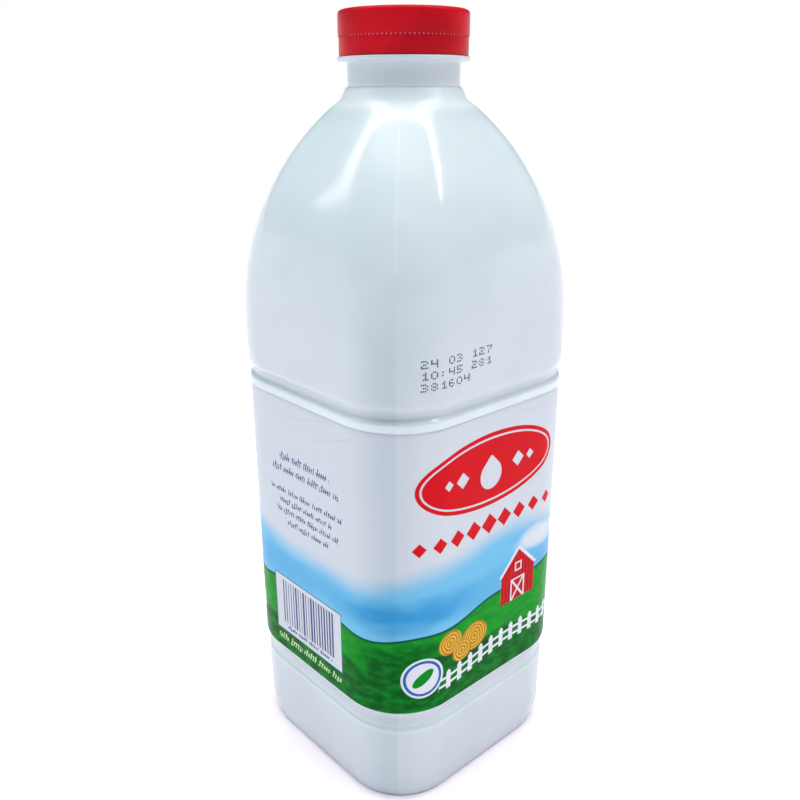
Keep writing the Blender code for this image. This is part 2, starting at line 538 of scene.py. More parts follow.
edges = choose("edges", lambda edge: all(on_parting(vert) for vert in edge.verts))
bpy.ops.mesh.bevel(offset=RIDGE_HALF, segments=4, affect="EDGES", profile=0.5)
points = choose("verts", on_parting)
bpy.ops.transform.shrink_fatten(value=RIDGE_HEIGHT)
corner_reaches = [vert.co.xy.length for vert in edit_mesh().verts if on_parting(vert)]
print("parting line of", edges, "edges and", points, "points")
print("its corners reach out to", round(max(corner_reaches) / MM, 2), "mm")
bpy.ops.object.mode_set(mode="OBJECT")
shell = ring.piece

# %% [markdown]
# ## An uneven wall
#
# A blown wall is never true: it shrinks a little more here than there. A Displace modifier with a soft
# cloud pattern draws the walls in by up to 0.3 mm, which bends the mirrored lamps as on the real thing. A
# vertex group keeps the foot, the neck and the flange as they were moulded. It only goes inwards, so the
# bottle keeps its size.

# %% Draw the walls in a little
WALL_UNEVEN = 0.30 * MM
CLOUD_WIDTH = 34.0 * MM


def uneven(piece, name, depth, width, weight):
    """Displaces a piece inwards by a cloud pattern, where weight(point) says how much."""
    group = piece.vertex_groups.new(name=name)
    for vert in piece.data.vertices:
        group.add([vert.index], weight(vert.co), "REPLACE")
    clouds = bpy.data.textures.new(name, "CLOUDS")
    clouds.noise_scale = width
    clouds.noise_depth = 1
    bpy.ops.object.select_all(action="DESELECT")
    piece.select_set(True)
    bpy.context.view_layer.objects.active = piece
    bpy.ops.object.modifier_add(type="DISPLACE")
    modifier = piece.modifiers[-1]
    modifier.texture = clouds
    modifier.texture_coords = "LOCAL"
    modifier.vertex_group = name
    modifier.mid_level = 1.0
    modifier.strength = depth
    bpy.ops.object.modifier_apply(modifier=modifier.name)
    piece.vertex_groups.remove(piece.vertex_groups[name])


def slope(value, start, end):
    """0 below start, 1 above end, and an even slope between them."""
    return min(max((value - start) / (end - start), 0.0), 1.0)


def wall_weight(point):
    """Full on the shoulder and the dome, less on the panel and the foot, none at the rim and the neck."""
    rim = slope(point.z, 2.0 * MM, 12.0 * MM)
    neck = 1.0 - slope(point.z, 205.0 * MM, 228.0 * MM)
    return rim * neck * (0.35 + 0.65 * slope(point.z, 144.0 * MM, 165.0 * MM))


uneven(shell, "wall", WALL_UNEVEN, CLOUD_WIDTH, wall_weight)


def smooth(piece, degrees):
    """Smooth shading over all edges that are blunter than an angle."""
    bpy.ops.object.select_all(action="DESELECT")
    piece.select_set(True)
    bpy.context.view_layer.objects.active = piece
    bpy.ops.object.shade_smooth_by_angle(angle=math.radians(degrees))


smooth(shell, 40)
print("shell has", len(shell.data.polygons), "faces")

# %% [markdown]
# ## A group for moulded plastic
#
# The body, the cap and the film are all plastic that took its surface from steel. They share soft clouds,
# in which the colour and the gloss change slightly, and a fine grain. One group gives both as plain masks,
# and each material uses them with its own sizes and its own depth.

# %% Build the moulded surface group
moulded, given, result = new_group(
    "moulded surface",
    [("Place", VECTOR), ("Cloud scale", FLOAT), ("Grain scale", FLOAT)],
    [("Clouds", FLOAT), ("Grain", FLOAT)],
)
clouds = node(moulded, "ShaderNodeTexNoise",
              {"Vector": given["Place"], "Scale": given["Cloud scale"], "Detail": 2.0, "Roughness": 0.5})
grain = node(moulded, "ShaderNodeTexNoise",
             {"Vector": given["Place"], "Scale": given["Grain scale"], "Detail": 3.0, "Roughness": 0.6})
moulded.links.new(ramp(moulded, clouds.outputs["Fac"], 0.35, 0.65), result.inputs["Clouds"])
moulded.links.new(grain.outputs["Fac"], result.inputs["Grain"])
print("group:", moulded.name)

# %% [markdown]
# ## White blown plastic
#
# The body is opaque white with a cool cast, and glossy. Its gloss comes from a low roughness that the
# clouds vary, so that the mirrored lamps have soft, slightly broken edges. The neck is pressed and not
# blown, and comes out satin. The grain feeds a weak bump, like the skin of an orange seen from far away.
#
# The four corners are painted a shade darker below the dome, most on one side of the line where the mould's
# halves met: this is painted shade. The film is painted darker there too. The line itself is painted a
# little whiter on the dome, and bead, waist and collar are painted whiter still: these are painted
# highlights.

# %% Find where shade and highlights are painted
corners, given, result = new_group("painted shade and highlights", [("Place", VECTOR)],
                                   [("Painted shade", FLOAT), ("Seam", FLOAT), ("Painted rim highlight", FLOAT)])
parts = node(corners, "ShaderNodeSeparateXYZ", {0: given["Place"]})
across = parts.outputs["X"]
deep = parts.outputs["Y"]
high_up = parts.outputs["Z"]
SHADE_FAR_SIDE = 0.45
WAIST_SHARE = 0.45


def band(rise_from, low, high, fall_to):
    """A mask of the heights between two, in millimetres, with soft ends."""
    climb = ramp(corners, high_up, rise_from * MM, low * MM)
    return calc(corners, "MULTIPLY", climb, ramp(corners, high_up, high * MM, fall_to * MM, 1.0, 0.0))


# Painted shade: the corners darken below the dome, most on one side of the parting line.
off_corner = calc(corners, "SUBTRACT", calc(corners, "ABSOLUTE", across), calc(corners, "ABSOLUTE", deep))
one_side = ramp(corners, off_corner, 3 * MM, 20 * MM, 1.0, 0.0)
other_side = ramp(corners, off_corner, -12 * MM, -1 * MM, 0.0, SHADE_FAR_SIDE)
past_line = ramp(corners, off_corner, -0.8 * MM, 0.8 * MM, SHADE_FAR_SIDE, 1.0)
at_corner = calc(corners, "MULTIPLY", one_side, calc(corners, "MAXIMUM", other_side, past_line))
at_corner = calc(corners, "MULTIPLY", at_corner, ramp(corners, off_corner, -12 * MM, -1 * MM))
below_dome = ramp(corners, high_up, 157 * MM, 184 * MM, 1.0, 0.0)
corners.links.new(calc(corners, "MULTIPLY", at_corner, below_dome), result.inputs["Painted shade"])
# Painted highlight: the parting line is painted whiter on the dome.
from_seam = calc(corners, "ABSOLUTE", calc(corners, "SUBTRACT", across, deep))
at_seam = ramp(corners, from_seam, 0.2 * MM, 0.95 * MM, 1.0, 0.0)
on_dome = band(175, 195, 220, 225)
corners.links.new(calc(corners, "MULTIPLY", at_seam, on_dome), result.inputs["Seam"])
# Painted highlight: bead, waist and collar are painted whiter, for the light from above that they catch.
at_waist = calc(corners, "MULTIPLY", band(28.8, 29.4, 31.0, 31.6), WAIST_SHARE)
at_bead = band(138.2, 138.9, 140.5, 141.2)
at_collar = band(226.0, 228.5, 232.6, 235.1)
rims = calc(corners, "ADD", calc(corners, "ADD", at_waist, at_bead), at_collar)
corners.links.new(rims, result.inputs["Painted rim highlight"])
print("group:", corners.name)

# %% Make the white plastic
# Painted shade in the corners.
PAINTED_CORNER_SHADE = (0.86, 0.885, 0.90, 1.0)
FULL_TONE = (1.0, 1.0, 1.0, 1.0)
# Painted highlight on the parting line.
PAINTED_SEAM_HIGHLIGHT = (1.055, 1.055, 1.05, 1.0)
# Painted highlight on bead, waist and collar.
PAINTED_RIM_HIGHLIGHT = (1.22, 1.20, 1.18, 1.0)
WHITE_DEEP = (0.54, 0.605, 0.65, 1.0)
WHITE_PALE = (0.565, 0.63, 0.67, 1.0)
WALL_GLOSS = (0.09, 0.14)
NECK_SATIN = 0.20
GRAIN_DEPTH = 0.02 * MM
DENSE_PLASTIC = 1.52


def paint_with(piece, material):
    """Gives a piece one material."""
    piece.data.materials.clear()
    piece.data.materials.append(material)


def new_material(name):
    """A material with its tree, its shader and the Object coordinates."""
    material = bpy.data.materials.new(name)
    material.use_nodes = True
    tree = material.node_tree
    place = node(tree, "ShaderNodeTexCoord").outputs["Object"]
    return material, tree, tree.nodes["Principled BSDF"], place


def toned(tree, place, colour):
    """The colour, with painted shade in the corners and painted highlights on the seam and the rims."""
    mould = use_group(tree, corners, {"Place": place})
    tone = blend(tree, mould.outputs["Painted shade"], FULL_TONE, PAINTED_CORNER_SHADE)
    tone = blend(tree, mould.outputs["Seam"], tone, PAINTED_SEAM_HIGHLIGHT)
    tone = blend(tree, mould.outputs["Painted rim highlight"], tone, PAINTED_RIM_HIGHLIGHT)
    return blend(tree, 1.0, colour, tone, blend_type="MULTIPLY")


def bumped(tree, shader, height, distance):
    """Feeds a height into the shader's normal."""
    bump = node(tree, "ShaderNodeBump", {"Height": height, "Distance": distance, "Strength": 1.0})
    tree.links.new(bump.outputs["Normal"], shader.inputs["Normal"])


white, tree, shader, place = new_material("white blown plastic")
surface = use_group(tree, moulded, {"Place": place, "Cloud scale": 38.0, "Grain scale": 700.0})
painted = blend(tree, surface.outputs["Clouds"], WHITE_DEEP, WHITE_PALE)
tree.links.new(toned(tree, place, painted), shader.inputs["Base Color"])
height_up = node(tree, "ShaderNodeSeparateXYZ", {0: place}).outputs["Z"]
satin_neck = ramp(tree, height_up, 222.0 * MM, 231.0 * MM, 0.0, NECK_SATIN)
gloss = calc(tree, "ADD", ramp(tree, surface.outputs["Clouds"], 0.0, 1.0, *WALL_GLOSS), satin_neck)
tree.links.new(gloss, shader.inputs["Roughness"])
bumped(tree, shader, surface.outputs["Grain"], GRAIN_DEPTH)
shader.inputs["IOR"].default_value = DENSE_PLASTIC
paint_with(shell, white)
print("material:", white.name)

# %% [markdown]
# ## The sleeve of film
#
# The label is one length of printed film, wrapped round the panel with its ends glued over each other. It
# is made like the wall, as a ring that climbs, with its top and bottom edges leaning in against the panel.
# A bridge between those edges closes it into a thin tube. The wall stays inside it, so only the film shows.

# %% Model the sleeve
FILM = label_high.x - 0.17 * MM
FILM_BACK = PANEL + 0.06 * MM
FILM_THICKNESS = 0.07 * MM
FILM_FOOT = label_low.z + 0.02 * MM
FILM_TOP = label_high.z - 0.02 * MM
FILM_LEAN = 1.3 * MM
TOP_LEAN = 0.18 * MM
FILM_OUTLINE = [
    (FILM_BACK, label_low.z + 0.30 * MM, 0.0),
    (FILM_BACK, FILM_FOOT, 0.0),
    (FILM_BACK + FILM_THICKNESS, FILM_FOOT, 0.0),
    (FILM, label_low.z + FILM_LEAN, 0.6 * MM),
    (FILM, label_high.z - TOP_LEAN, 0.2 * MM),
    (FILM_BACK + FILM_THICKNESS, FILM_TOP, 0.0),
    (FILM_BACK, FILM_TOP, 0.0),
    (FILM_BACK, label_high.z - 0.30 * MM, 0.0),
]
film_levels = filled(rounded(FILM_OUTLINE, 3), 2.0 * MM)
ring = Ring("label_sleeve", *film_levels[0])
for half, height in film_levels[1:]:
    ring.climb(half, height)
choose("edges", lambda edge: edge.is_boundary)
bpy.ops.mesh.bridge_edge_loops()
bpy.ops.mesh.select_all(action="SELECT")
bpy.ops.mesh.normals_make_consistent(inside=False)
print("sleeve has", len(edit_mesh().faces), "faces, open edges:", open_edges())

# %% [markdown]
# ## Distance along the film
#
# The print is laid out flat before the film is wrapped, so its places are distances along the film and
# heights. A point's distance follows from its direction: on a flat side it is how far it lies from the
# side's middle, and on a corner the arc is added. It runs from the middle of the front, to the right, in
# metres.

# %% Measure along the film
FILM_FLAT = FLAT * FILM / PANEL
FILM_CORNER = FILM - FILM_FLAT
SIDE_LENGTH = 2 * FILM_FLAT + FILM_CORNER * math.pi / 2
SEAM = 1.46 * SIDE_LENGTH


def along_film(point):
    """Distance round the film from the middle of the front, positive to the right."""
    turned = math.atan2(point.x, -point.y)
    side = round(turned / (math.pi / 2))
    local = turned - side * math.pi / 2
    reach = point.xy.length
    across = abs(reach * math.sin(local))
    out = reach * math.cos(local)
    if across > FILM_FLAT:
        across = FILM_FLAT + FILM_CORNER * math.atan2(across - FILM_FLAT, out - FILM_FLAT)
    return side * SIDE_LENGTH + math.copysign(across, local)


def nearest_turn(distance, middle):
    """The same place on the film, counted in the turn that lies nearest to another place."""
    return distance - 4 * SIDE_LENGTH * round((distance - middle) / (4 * SIDE_LENGTH))


print("film is", round(4 * SIDE_LENGTH / MM, 1), "mm long")
print("its seam is", round(SEAM / MM, 1), "mm from the front's middle")

# %% [markdown]
# ## The glued overlap
#
# The film's ends meet on the far corner. The outer end lies on the inner one, so a strip of faces there is
# extruded outwards by the thickness of the film. From the side its edge catches the light as a fine upright
# line.

# %% Raise the overlap
OVERLAP = 7.0 * MM


def in_overlap(face):
    """True for the outer faces between the seam and the overlap's width before it."""
    middle = face.calc_center_median()
    faces_out = face.normal.x * middle.x + face.normal.y * middle.y > 0.5 * middle.xy.length
    return faces_out and 0 < SEAM - nearest_turn(along_film(middle), SEAM) < OVERLAP


overlap_faces = choose("faces", in_overlap)
bpy.ops.mesh.extrude_region_shrink_fatten(TRANSFORM_OT_shrink_fatten={"value": FILM_THICKNESS})
bpy.ops.object.mode_set(mode="OBJECT")
sleeve = bpy.context.object
print("overlap of", overlap_faces, "faces")

# %% [markdown]
# ## Slack in the film
#
# The film is stretched round flat walls, so it isn't quite tight: near its top edge it has a few long,
# shallow waves that run along it. The same displacement as on the wall makes them, with a smaller pattern
# and with its weight near the edges.

# %% Wave the film
FILM_SLACK = 0.13 * MM


def film_weight(point):
    """Most near the film's top edge, little lower down, none on the edges that touch the panel."""
    near_top = slope(point.z, label_high.z - 28.0 * MM, label_high.z - 6.0 * MM)
    at_edge = slope(point.z, label_high.z - TOP_LEAN, label_high.z - 3.5 * MM)
    return (0.30 + 0.70 * near_top) * at_edge


uneven(sleeve, "slack", FILM_SLACK, 15.0 * MM, film_weight)
smooth(sleeve, 35)

# %% [markdown]
# ## Two layouts for the film
#
# The first UV map, "print", holds the distance along the film and the height, both in metres: the print
# below is drawn with it. The second, "OFBake", is for maps that are baked from the material: it spreads the
# film in two rows over the whole square, so that small print stays sharp, and gives the hidden inner side a
# narrow strip.

# %% Lay out the film
ROW_HEIGHT = 0.485
STRIP_LOW = 0.98


def outer_side(mesh, face):
    """True for a face that looks away from the bottle's axis."""
    middle = face.center
    return face.normal.x * middle.x + face.normal.y * middle.y > 0.3 * middle.xy.length


def lay_out(piece):
    """Writes both UV maps of the film, face by face."""
    mesh = piece.data
    while mesh.uv_layers:
        mesh.uv_layers.remove(mesh.uv_layers[0])
    flat_print = mesh.uv_layers.new(name="print")
    for_maps = mesh.uv_layers.new(name="OFBake")
    tall = label_high.z - label_low.z
    for face in mesh.polygons:
        middle = nearest_turn(along_film(face.center), SEAM - 2 * SIDE_LENGTH)
        outside = outer_side(mesh, face)
        for corner in face.loop_indices:
            point = mesh.vertices[mesh.loops[corner].vertex_index].co
            along = nearest_turn(along_film(point), middle)
            flat_print.data[corner].uv = (along, point.z)
            share = (SEAM - along) / (4 * SIDE_LENGTH)
            row = 0 if SEAM - middle < 2 * SIDE_LENGTH else 1
            climb = (point.z - label_low.z) / tall
            across = 0.01 + 0.98 * (2 * share - row)
            up = row * (ROW_HEIGHT + 0.005) + ROW_HEIGHT * climb
            if not outside:
                across = 0.01 + 0.98 * share
                up = STRIP_LOW + 0.01 + 0.008 * climb
            for_maps.data[corner].uv = (across, up)
    mesh.uv_layers.active = flat_print
    flat_print.active_render = True


lay_out(sleeve)
print("film maps:", [layer.name for layer in sleeve.data.uv_layers])

# %% [markdown]
# ## Shapes for a print
#
# The print is drawn by arithmetic and not from a picture. Each shape is a node group that takes a place on
# the film, in millimetres, and puts out a mask: 1 inside, 0 outside, with an edge as soft as ink on film. A
# box with rounded corners and an oval are enough for most of it.

# %% Build the shape groups
EDGE = 0.14
FLAT_ON_FILM = (1, 1, 0)


def shifted(tree, place, middle, turn):
    """A place measured from the middle of a shape and turned with it."""
    away = vector_calc(tree, "SUBTRACT", place, middle)
    turned = node(tree, "ShaderNodeVectorRotate", {"Vector": away, "Angle": turn}, rotation_type="Z_AXIS")
    return turned.outputs[0]


box_shape, given, result = new_group(
    "box shape",
    [("Place", VECTOR), ("Middle", VECTOR), ("Half size", VECTOR), ("Turn", FLOAT), ("Corner", FLOAT)],
    [("Mask", FLOAT)],
)
near = shifted(box_shape, given["Place"], given["Middle"], given["Turn"])
near = vector_calc(box_shape, "ABSOLUTE", near)
corner = node(box_shape, "ShaderNodeCombineXYZ", {axis: given["Corner"] for axis in "XYZ"}).outputs[0]
inner = vector_calc(box_shape, "SUBTRACT", given["Half size"], corner)
past = vector_calc(box_shape, "MAXIMUM", vector_calc(box_shape, "SUBTRACT", near, inner))
past = vector_calc(box_shape, "MULTIPLY", past, FLAT_ON_FILM)
past = calc(box_shape, "SUBTRACT", vector_calc(box_shape, "LENGTH", past), given["Corner"])
box_shape.links.new(ramp(box_shape, past, 0.0, EDGE, 1.0, 0.0), result.inputs["Mask"])

oval_shape, given, result = new_group(
    "oval shape",
    [("Place", VECTOR), ("Middle", VECTOR), ("Half size", VECTOR), ("Turn", FLOAT), ("Edge", FLOAT)],
    [("Mask", FLOAT)],
)
near = shifted(oval_shape, given["Place"], given["Middle"], given["Turn"])
near = vector_calc(oval_shape, "DIVIDE", near, given["Half size"])
near = vector_calc(oval_shape, "MULTIPLY", near, FLAT_ON_FILM)
reach = vector_calc(oval_shape, "LENGTH", near)
across = node(oval_shape, "ShaderNodeSeparateXYZ", {0: given["Half size"]}).outputs["Y"]
past = calc(oval_shape, "MULTIPLY", calc(oval_shape, "SUBTRACT", reach, 1.0), across)
past = calc(oval_shape, "DIVIDE", past, given["Edge"])
oval_shape.links.new(ramp(oval_shape, past, 0.0, 1.0, 1.0, 0.0), result.inputs["Mask"])
print("shape groups:", box_shape.name, "and", oval_shape.name)

# %% [markdown]
# ## The film's coordinates
#
# The print repeats after half the way round, so that the bottle has a front on two opposite sides, as such
# labels do. The distance along the film is therefore wrapped into one half turn, and both numbers are
# turned into millimetres. From here on a place on the print is a pair such as (12, 98).

# %% Start the film's material
film, tree, shader, place = new_material("printed film")
print_map = node(tree, "ShaderNodeUVMap", uv_map="print").outputs["UV"]
metres = node(tree, "ShaderNodeSeparateXYZ", {0: print_map})
HALF_TURN = 2 * SIDE_LENGTH / MM
FRONT_END = 55.0
along = calc(tree, "MULTIPLY", metres.outputs["X"], 1 / MM)
along = calc(tree, "WRAP", along, FRONT_END, FRONT_END - HALF_TURN)
up = calc(tree, "MULTIPLY", metres.outputs["Y"], 1 / MM)
spot = node(tree, "ShaderNodeCombineXYZ", {"X": along, "Y": up, "Z": 0.0}).outputs[0]


def box(middle, half, turn=0.0, corner=0.05, at=None):
    """Mask of a box with rounded corners, in millimetres on the film."""
    plugs = {"Place": at or spot, "Middle": (*middle, 0), "Half size": (*half, 0)}
    return use_group(tree, box_shape, {**plugs, "Turn": turn, "Corner": corner}).outputs["Mask"]


def oval(middle, half, turn=0.0, edge=EDGE, at=None):
    """Mask of an oval, in millimetres on the film."""
    plugs = {"Place": at or spot, "Middle": (*middle, 0), "Half size": (*half, 1)}
    return use_group(tree, oval_shape, {**plugs, "Turn": turn, "Edge": edge}).outputs["Mask"]


def both(first, second):
    """Where two masks are."""
    return calc(tree, "MULTIPLY", first, second)


def either(first, second):
    """Where at least one of two masks is."""
    return calc(tree, "MAXIMUM", first, second)


def without(first, second):
    """Where the first mask is and the second isn't."""
    return calc(tree, "MULTIPLY", first, calc(tree, "SUBTRACT", 1.0, second))


def under(line, soft=EDGE):
    """Mask of all that lies lower than a line."""
    return ramp(tree, calc(tree, "SUBTRACT", line, up), 0.0, soft)


def wave(level, *waves):
    """A level that rises and falls along the film, each wave given as (height, times round, start)."""
    line = level
    for height, times, start in waves:
        angle = calc(tree, "MULTIPLY_ADD", along, times * 2 * math.pi / HALF_TURN, start)
        line = calc(tree, "MULTIPLY_ADD", calc(tree, "SINE", angle), height, line)
    return line


def brushed(scale, stretch, detail=3.0):
    """Clouds of brush strokes that are longer along the film than up it."""
    seen = node(tree, "ShaderNodeMapping", {"Vector": spot, "Scale": (scale, scale * stretch, scale)})
    noise = node(tree, "ShaderNodeTexNoise", {"Vector": seen.outputs[0], "Scale": 1.0, "Detail": detail})
    return noise.outputs["Fac"]


print("half a turn of the film is", round(HALF_TURN, 1), "mm")

# %% [markdown]
# ## Sky and fields
#
# The upper half of the film is left white. Below it the sky deepens quickly to a clear blue, which is
# palest where it meets the fields. Each field is all that lies under a wavy line, with brush strokes that
# mix two greens, so that no area is one flat colour. A thin dark line sets the furthest field off from the
# sky.

# %% Paint sky and fields
FILM_WHITE = (0.605, 0.65, 0.705, 1.0)
SKY_PALE = (0.17, 0.50, 0.76, 1.0)
SKY_DEEP = (0.045, 0.31, 0.62, 1.0)
FAR_GREEN = (0.002, 0.07, 0.045, 1.0)
LEAF_GREEN = (0.002, 0.235, 0.018, 1.0)
GRASS_GREEN = (0.010, 0.32, 0.016, 1.0)
DEEP_GREEN = (0.0005, 0.062, 0.010, 1.0)

sky_top = wave(89.5, (5.0, 1, 1.37), (0.8, 4, 0.4))
sky_edge = calc(tree, "MULTIPLY_ADD", brushed(0.07, 2.6), 3.0, calc(tree, "SUBTRACT", up, sky_top))
sky_mask = ramp(tree, sky_edge, -5.0, 5.0, 1.0, 0.0)
sky_depth = calc(tree, "SUBTRACT", calc(tree, "MULTIPLY_ADD", brushed(0.06, 2.0), 9.0, 66.0), up)
sky_depth = ramp(tree, calc(tree, "ABSOLUTE", calc(tree, "ADD", sky_depth, 4.5)), 1.0, 8.0, 1.0, 0.0)
blue_side = ramp(tree, calc(tree, "ABSOLUTE", calc(tree, "ADD", along, 36.0)), 8.0, 34.0, 1.0, 0.35)
sky_colour = blend(tree, calc(tree, "MULTIPLY", sky_depth, blue_side), SKY_PALE, SKY_DEEP)
colour = blend(tree, sky_mask, FILM_WHITE, sky_colour)

far_line = wave(67.0, (0.9, 2, 2.4), (0.6, 5, 2.0))
far_line = calc(tree, "ADD", far_line, ramp(tree, along, -22.0, 30.0, 0.0, 7.0))
far_line = calc(tree, "SUBTRACT", far_line, ramp(tree, along, 30.0, 55.0, 0.0, 7.0))
far_field = under(far_line, 0.3)
strokes = brushed(0.20, 1.9, 6.0)
far_colour = blend(tree, ramp(tree, strokes, 0.30, 0.70), LEAF_GREEN, GRASS_GREEN)
colour = blend(tree, far_field, colour, FAR_GREEN)
colour = blend(tree, under(calc(tree, "SUBTRACT", far_line, 0.6), 0.9), colour, far_colour)

near_line = wave(55.0, (3.0, 1, 2.6), (1.0, 4, 0.0))
near_colour = blend(tree, ramp(tree, strokes, 0.34, 0.80), DEEP_GREEN, LEAF_GREEN)
shaded_side = ramp(tree, calc(tree, "ABSOLUTE", calc(tree, "ADD", along, 38.0)), 8.0, 22.0, 1.0, 0.0)
side_field = both(shaded_side, under(calc(tree, "SUBTRACT", far_line, 1.0), 5.0))
near_mask = calc(tree, "MULTIPLY", either(under(near_line, 3.0), side_field), 0.85)
colour = blend(tree, near_mask, colour, near_colour)
print("sky and fields painted")

# %% [markdown]
# ## Motifs on the fields
#
# A barn, three round bales, a fence and two clouds fill the picture. They are plain shapes of a few boxes
# and ovals each. A shape that has to stay inside another is multiplied by that one's mask. The fence
# repeats one slat: the distance along the film is cut into equal steps, and the slat is drawn in the middle
# of each. Rings on the bales come from a sine of the distance to their middle.

# %% Paint the barn and the clouds
RED = (0.62, 0.006, 0.012, 1.0)
DARK_RED = (0.27, 0.004, 0.010, 1.0)
PRINT_WHITE = (0.70, 0.73, 0.78, 1.0)
STRAW = (0.78, 0.47, 0.06, 1.0)
STRAW_DARK = (0.42, 0.19, 0.015, 1.0)

for middle, half in [((27.0, 84.5), (9.0, 2.2)), ((22.0, 86.2), (5.0, 2.4))]:
    puff = calc(tree, "MULTIPLY", oval(middle, half, 0.0, 2.6), 0.75)
    colour = blend(tree, puff, colour, PRINT_WHITE)

BARN = (13.0, 70.0)
DIAMOND = math.pi / 4
BRACE_TURN = math.radians(38)


def on_barn(rise):
    """A place on the barn's upright middle line."""
    return (BARN[0], BARN[1] + rise)


roof = both(box(on_barn(5.2), (6.9, 6.9), DIAMOND), box(on_barn(9.6), (11.0, 4.6)))
gable = both(box(on_barn(4.1), (6.5, 6.5), DIAMOND), box(on_barn(8.9), (10.0, 4.2)))
wall = box(BARN, (8.6, 6.2))
boards = ramp(tree, calc(tree, "ABSOLUTE", calc(tree, "WRAP", along, 0.85, -0.85)), 0.10, 0.34)
door = box(on_barn(-2.0), (3.6, 4.2))
door_frame = without(door, box(on_barn(-2.3), (2.9, 3.9)))
braces = [box(on_barn(-2.2), (0.32, 5.6), turned) for turned in (BRACE_TURN, -BRACE_TURN)]
brace = both(door, either(*braces))
hatch = without(box(on_barn(6.7), (1.7, 1.7)), box(on_barn(6.7), (1.1, 1.1)))
planks = blend(tree, calc(tree, "MULTIPLY", boards, ramp(tree, strokes, 0.2, 0.6, 0.6, 1.0)), DARK_RED, RED)
colour = blend(tree, either(wall, gable), colour, planks)
colour = blend(tree, without(roof, gable), colour, PRINT_WHITE)
colour = blend(tree, either(either(door_frame, brace), hatch), colour, PRINT_WHITE)
print("barn painted")

# %% Paint the bales and the fence
for middle, size in [((-20.0, 60.8), 5.2), ((-8.6, 58.2), 6.2), ((-14.6, 55.2), 4.4)]:
    shade = oval((middle[0] + 0.8, middle[1] - size * 0.82), (size * 1.15, size * 0.30), 0.0, 0.8)
    bale = oval(middle, (size, size * 0.86))
    away = vector_calc(tree, "DISTANCE", spot, (*middle, 0))
    rings = calc(tree, "SINE", calc(tree, "MULTIPLY_ADD", strokes, 5.0, calc(tree, "MULTIPLY", away, 5.2)))
    straw = blend(tree, ramp(tree, rings, -0.6, 0.9), STRAW_DARK, STRAW)
    rim = oval(middle, (size * 0.90, size * 0.77), 0.0, 0.5)
    colour = blend(tree, calc(tree, "MULTIPLY", shade, 0.7), colour, DEEP_GREEN)
    colour = blend(tree, bale, colour, blend(tree, rim, STRAW_DARK, straw))

FENCE_STEP = 5.2
fence_foot = wave(45.6, (2.4, 1, 0.2), (0.8, 3, 1.1))
fence_up = calc(tree, "SUBTRACT", up, fence_foot)
step_along = calc(tree, "WRAP", along, FENCE_STEP / 2, -FENCE_STEP / 2)
on_fence = node(tree, "ShaderNodeCombineXYZ", {"X": step_along, "Y": fence_up, "Z": 0.0}).outputs[0]
point = box((0.0, 6.4), (0.67, 0.67), DIAMOND, at=on_fence)
slat = either(box((0.0, 3.2), (0.95, 3.2), at=on_fence), point)
rails = either(*[box((0.0, height), (9.0, 0.42), at=on_fence) for height in (1.8, 4.6)])
fence = both(either(slat, rails), box((12.0, 50.0), (37.0, 12.0), 0.0, 0.5))
colour = blend(tree, fence, colour, PRINT_WHITE)
print("bales and fence painted")

# %% [markdown]
# ## The red sign
#
# Red is what one sees first on this label, so its front carries a large plain sign: a red oval with a fine
# white line inside its edge and a white drop in the middle, and a row of red diamonds below it. A drop is
# an oval with a turned square on top. The sign carries no word.

# %% Paint the sign
SIGN = (-3.0, 118.6)
SIGN_HALF = (31.0, 12.6)
DROP = 4.9
sign = oval(SIGN, SIGN_HALF)
outer_line = oval(SIGN, (SIGN_HALF[0] - 1.5, SIGN_HALF[1] - 1.5))
line = without(outer_line, oval(SIGN, (SIGN_HALF[0] - 2.2, SIGN_HALF[1] - 2.2)))
drop_low = (SIGN[0], SIGN[1] - 1.9)
drop_top = (SIGN[0], drop_low[1] + 9.4)
drop_top = both(box(drop_low, (DROP, DROP), DIAMOND, 0.6), box(drop_top, (DROP, 5.9)))
marks = either(oval(drop_low, (DROP, DROP)), drop_top)
for away, size in [(-13.0, 1.9), (-19.0, 1.2), (13.0, 1.9), (19.0, 1.2)]:
    marks = either(marks, box((SIGN[0] + away, SIGN[1]), (size, size), DIAMOND))
colour = blend(tree, sign, colour, RED)
colour = blend(tree, either(line, marks), colour, FILM_WHITE)

DIAMONDS_UP = 99.0
DIAMOND_PITCH = 7.4
for k in range(-4, 5):
    size = 2.55 - 0.22 * abs(k)
    diamond = box((SIGN[0] + DIAMOND_PITCH * k, DIAMONDS_UP), (size, size), DIAMOND)
    colour = blend(tree, diamond, colour, RED)
print("sign painted")

# %% [markdown]
# ## Small print
#
# The side of the label has a block of dark blue lines, a white panel with upright bars and a light line at
# its foot. The lines stand for small print without spelling anything. Each row is cut into cells, and a
# White Noise node gives every cell its own numbers: they settle how tall its stroke is and whether a short
# bar crosses it. Wider gaps part the row into words.

# %% Paint the small print
NAVY = (0.018, 0.028, 0.17, 1.0)
PALE_GREEN = (0.55, 0.72, 0.40, 1.0)
PRINT_COVER = 0.9


def chance(cell, seed):
    """A number between 0 and 1 that belongs to a cell."""
    plugs = {"W": calc(tree, "ADD", cell, seed)}
    return node(tree, "ShaderNodeTexWhiteNoise", plugs, noise_dimensions="1D").outputs[0]


